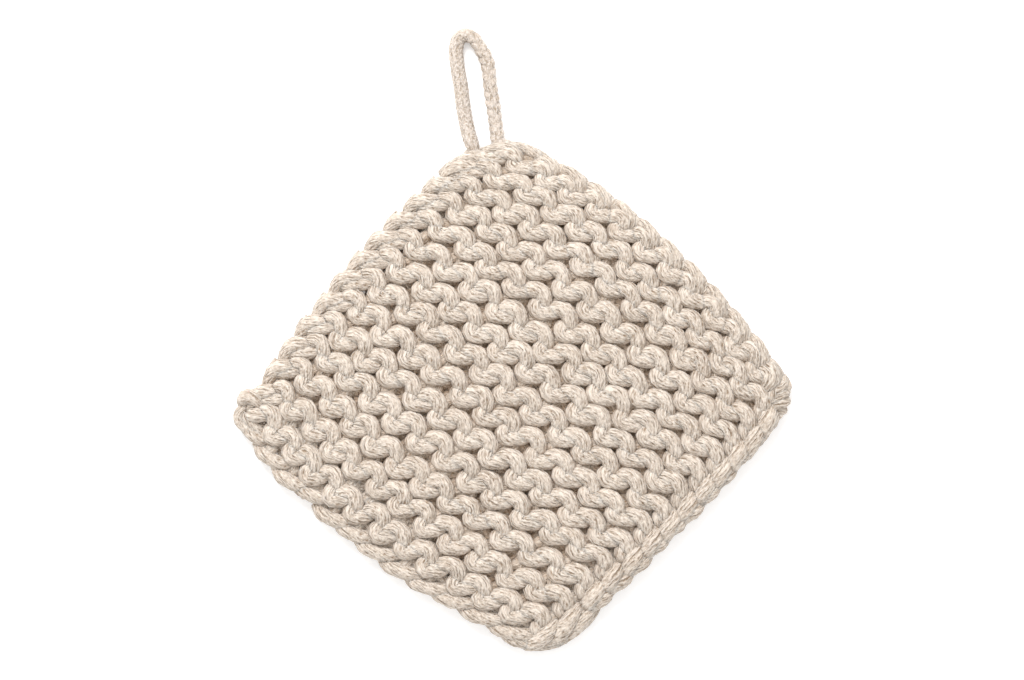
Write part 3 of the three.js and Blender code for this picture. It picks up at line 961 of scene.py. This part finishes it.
def yarn_material(yarn, name, painted_shade_colour):
    """The yarn's cotton, with shade painted in the given colour deep in the knitting."""
    return cotton(name, tuple(yarn.crest), tuple(yarn.groove), tuple(painted_shade_colour), yarn.strands, YARN_TUFT_LENGTH)


def dress_square(piece):
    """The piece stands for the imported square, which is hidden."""
    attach(piece, "root")
    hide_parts("knitted_square")


class POTHOLDER_OT_camera(Operator):
    """Place the camera straight above the pot holder"""

    bl_idname = "potholder.camera"
    bl_label = "Camera"

    def execute(self, context):
        camera = bpy.data.cameras.new("camera")
        camera.lens = LENS
        camera.sensor_width = SENSOR
        camera.clip_end = 20
        eye = bpy.data.objects.new("camera", camera)
        eye.location = Vector((*VIEW_CENTRE, VIEW_HEIGHT + FRAME_WIDTH * LENS / SENSOR)) * MM
        context.scene.collection.objects.link(eye)
        context.scene.camera = eye
        return {"FINISHED"}


def cord_surface(link, braid):
    """The cord: a fine smooth braid up its left half, narrow where it leaves the corner, and plump slanting links
    down its right half, two abreast on the face."""
    line, places = smooth_line([(*at, CORD_RADIUS) for at in CORD_ROUTE], CORD_RING_STEP)
    sides, ups = carried_frames(line[:, :3])
    around = np.arange(CORD_COLUMNS) / CORD_COLUMNS
    s = places[:, None]
    narrow = NARROW_SHARE + (1 - NARROW_SHARE) * np.sin(0.5 * math.pi * np.clip(s / NARROW_END, 0, 1))
    fold = np.abs(2 * ((around * BRAID_FOLDS) % 1) - 1)[None, :]
    fine = BRAID_RELIEF * np.cos(2 * math.pi * (s / braid + BRAID_SLANT * fold))
    column = (around - LINK_START) % 1 * LINK_COLUMNS
    across = (column % 1)[None, :]
    way = np.where(column < 0.5 * LINK_COLUMNS, 1.0, -1.0)[None, :]
    phase = s / link + LINK_SLANT * way * (across - 0.5) + LINK_STAGGER * way
    plump = np.abs(np.cos(math.pi * phase)) ** LINK_SQUARE_ALONG * np.sin(math.pi * across) ** LINK_SQUARE_ACROSS
    swell = LINK_SWELL * np.cos(2 * math.pi * s / LINK_SWELL_LENGTH)
    coarse = LINK_HOLLOW + (LINK_RELIEF + swell) * plump + LINK_BRAID * fine
    share = np.clip((s - LINKS_FROM * places[-1]) / LINKS_BLEND + 0.5, 0, 1)
    radius = line[:, 3:4] * narrow * (1 + (BRAID_SWELL + fine) * (1 - share) + coarse * share)
    turn = 2 * math.pi * around[None, :, None]
    outward = np.cos(turn) * sides[:, None, :] + np.sin(turn) * ups[:, None, :]
    return tube_mesh(line[:, None, :3] + radius[:, :, None] * outward, places), line, places[-1]


class POTHOLDER_OT_hanging_loop(Operator):
    """Build the hanging loop of cotton cord"""

    bl_idname = "potholder.hanging_loop"
    bl_label = "Hanging Loop"

    def execute(self, context):
        cord = context.scene.pot_holder_cord
        tube, line, length = cord_surface(cord.link / MM, cord.braid / MM)
        crest, groove = tuple(cord.crest), tuple(cord.groove)
        # The cord takes its strand colour for the painted shade, so no brown shade is painted on it.
        material = cotton("knotted_cotton_cord", crest, groove, crest, CORD_STRANDS, CORD_TUFT_LENGTH)
        piece = mesh_piece("hanging_cord", [tube], material)
        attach(piece, "root")
        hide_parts("hanging_loop")
        return {"FINISHED"}


class POTHOLDER_OT_knitted_rows(Operator):
    """Knit the ridges, two rows of yarn each"""

    bl_idname = "potholder.knitted_rows"
    bl_label = "Knitted Rows"

    def execute(self, context):
        yarn = context.scene.pot_holder_yarn
        # The rows' yarn gets brown painted shade near mid-height inside the square.
        material = yarn_material(yarn, "plied_cotton_yarn", yarn.painted_shade_colour)
        for first in range(0, RIDGES, RIDGES_PER_PIECE):
            tubes = []
            for q in range(first, min(first + RIDGES_PER_PIECE, RIDGES)):
                rng = np.random.default_rng(ROW_SEED + q)
                tubes.append(yarn_tube(knit_row(q, rng, yarn.unevenness), rng, yarn))
                tubes.append(yarn_tube(purl_row(q, rng, yarn.unevenness), rng, yarn))
            dress_square(mesh_piece("yarn_ridges_from_%02d" % (first + 1), tubes, material))
        return {"FINISHED"}


class POTHOLDER_OT_edges(Operator):
    """Lay the yarn of the four sides and the corners"""

    bl_idname = "potholder.edges"
    bl_label = "Edges and Corners"

    def execute(self, context):
        yarn = context.scene.pot_holder_yarn
        # Sides and corners take the strand colour for the painted shade, so no brown shade is painted on them.
        material = yarn_material(yarn, "plied_cotton_yarn_outer", yarn.crest)
        rng = np.random.default_rng(EDGE_SEED)
        chain = []
        for q in CHAIN_RIDGES:
            share = q / (RIDGES - 1)
            for leg, shift in zip((CHAIN_INNER, CHAIN_OUTER), CHAIN_SHIFT):
                chain.append(placed(leg, shift * share, q, nudges(rng, CHAIN_STRAY * yarn.unevenness)))
        cast_on = [placed(CAST_ON, p, 0, nudges(rng, yarn.unevenness)) for p in range(1, STITCHES)]
        cast_on.append(list(CAST_ON_BASE))
        bound_off = [placed(BIND_OFF, p, 0) for p in range(1, STITCHES - 1)]
        for name, lines in (
            ("right_side_chain", chain),
            ("cast_on_side", cast_on),
            ("bound_off_side", bound_off),
            ("corner_yarn", list(CORNER_YARN.values())),
        ):
            dress_square(mesh_piece(name, [yarn_tube(points, rng, yarn) for points in lines], material))
        return {"FINISHED"}


class POTHOLDER_OT_stage(Operator):
    """Lay the pale table and set the soft studio light"""

    bl_idname = "potholder.stage"
    bl_label = "Table and Light"

    def execute(self, context):
        stage = context.scene.pot_holder_stage
        corners = [(x * TABLE_REACH, y * TABLE_REACH, 0) for x, y in ((-1, -1), (1, -1), (1, 1), (-1, 1))]
        mesh = bpy.data.meshes.new("table_top")
        mesh.from_pydata(corners, [], [(0, 1, 2, 3)])
        material = bpy.data.materials.new("matt_white_board")
        material.use_nodes = True
        shader = material.node_tree.nodes["Principled BSDF"]
        shader.inputs["Base Color"].default_value = (*stage.floor, 1)
        shader.inputs["Roughness"].default_value = 0.9
        shader.inputs["Emission Color"].default_value = (1, 1, 1, 1)
        shader.inputs["Emission Strength"].default_value = stage.glow
        mesh.materials.append(material)
        table = bpy.data.objects.new("table_top", mesh)
        table.location.z = -TABLE_DROP
        context.scene.collection.objects.link(table)
        world = bpy.data.worlds.new("studio")
        world.use_nodes = True
        world.node_tree.nodes["Background"].inputs["Color"].default_value = (1, 1, 1, 1)
        world.node_tree.nodes["Background"].inputs["Strength"].default_value = stage.sky
        context.scene.world = world
        lamp = bpy.data.lights.new("key_light", "AREA")
        lamp.shape = "DISK"
        lamp.size = LAMP_WIDTH
        lamp.energy = stage.key
        lamp.color = LAMP_COLOUR
        key = bpy.data.objects.new("key_light", lamp)
        key.location = LAMP_PLACE
        key.rotation_euler = (Vector((0, 0, 0)) - key.location).to_track_quat("-Z", "Y").to_euler()
        context.scene.collection.objects.link(key)
        context.scene.view_settings.view_transform = "Standard"
        return {"FINISHED"}


STEPS = (
    POTHOLDER_OT_camera,
    POTHOLDER_OT_hanging_loop,
    POTHOLDER_OT_knitted_rows,
    POTHOLDER_OT_edges,
    POTHOLDER_OT_stage,
)
SETTINGS = {"pot_holder_yarn": PotHolderYarn, "pot_holder_cord": PotHolderCord, "pot_holder_stage": PotHolderStage}


class POTHOLDER_PT_panel(Panel):
    """Lists the pieces of the pot holder and their settings"""

    bl_idname = "POTHOLDER_PT_panel"
    bl_label = "Pot Holder"
    bl_space_type = "VIEW_3D"
    bl_region_type = "UI"
    bl_category = "Pot Holder"

    def draw(self, context):
        for name in SETTINGS:
            settings = getattr(context.scene, name)
            box = self.layout.box()
            for key in settings.bl_rna.properties.keys():
                if key not in ("rna_type", "name"):
                    box.prop(settings, key)
        for step in STEPS:
            self.layout.operator(step.bl_idname)


def register():
    """Register the classes and give the scene its settings."""
    for cls in (*SETTINGS.values(), *STEPS, POTHOLDER_PT_panel):
        bpy.utils.register_class(cls)
    for name, cls in SETTINGS.items():
        setattr(bpy.types.Scene, name, PointerProperty(type=cls))


def unregister():
    """Take the settings and the classes away again."""
    for name in SETTINGS:
        delattr(bpy.types.Scene, name)
    for cls in (POTHOLDER_PT_panel, *reversed(STEPS), *reversed(list(SETTINGS.values()))):
        bpy.utils.unregister_class(cls)


def main():
    """Build every piece."""
    register()
    bpy.ops.potholder.camera()
    bpy.ops.potholder.hanging_loop()
    bpy.ops.potholder.knitted_rows()
    bpy.ops.potholder.edges()
    bpy.ops.potholder.stage()


if __name__ == "__main__":
    main()
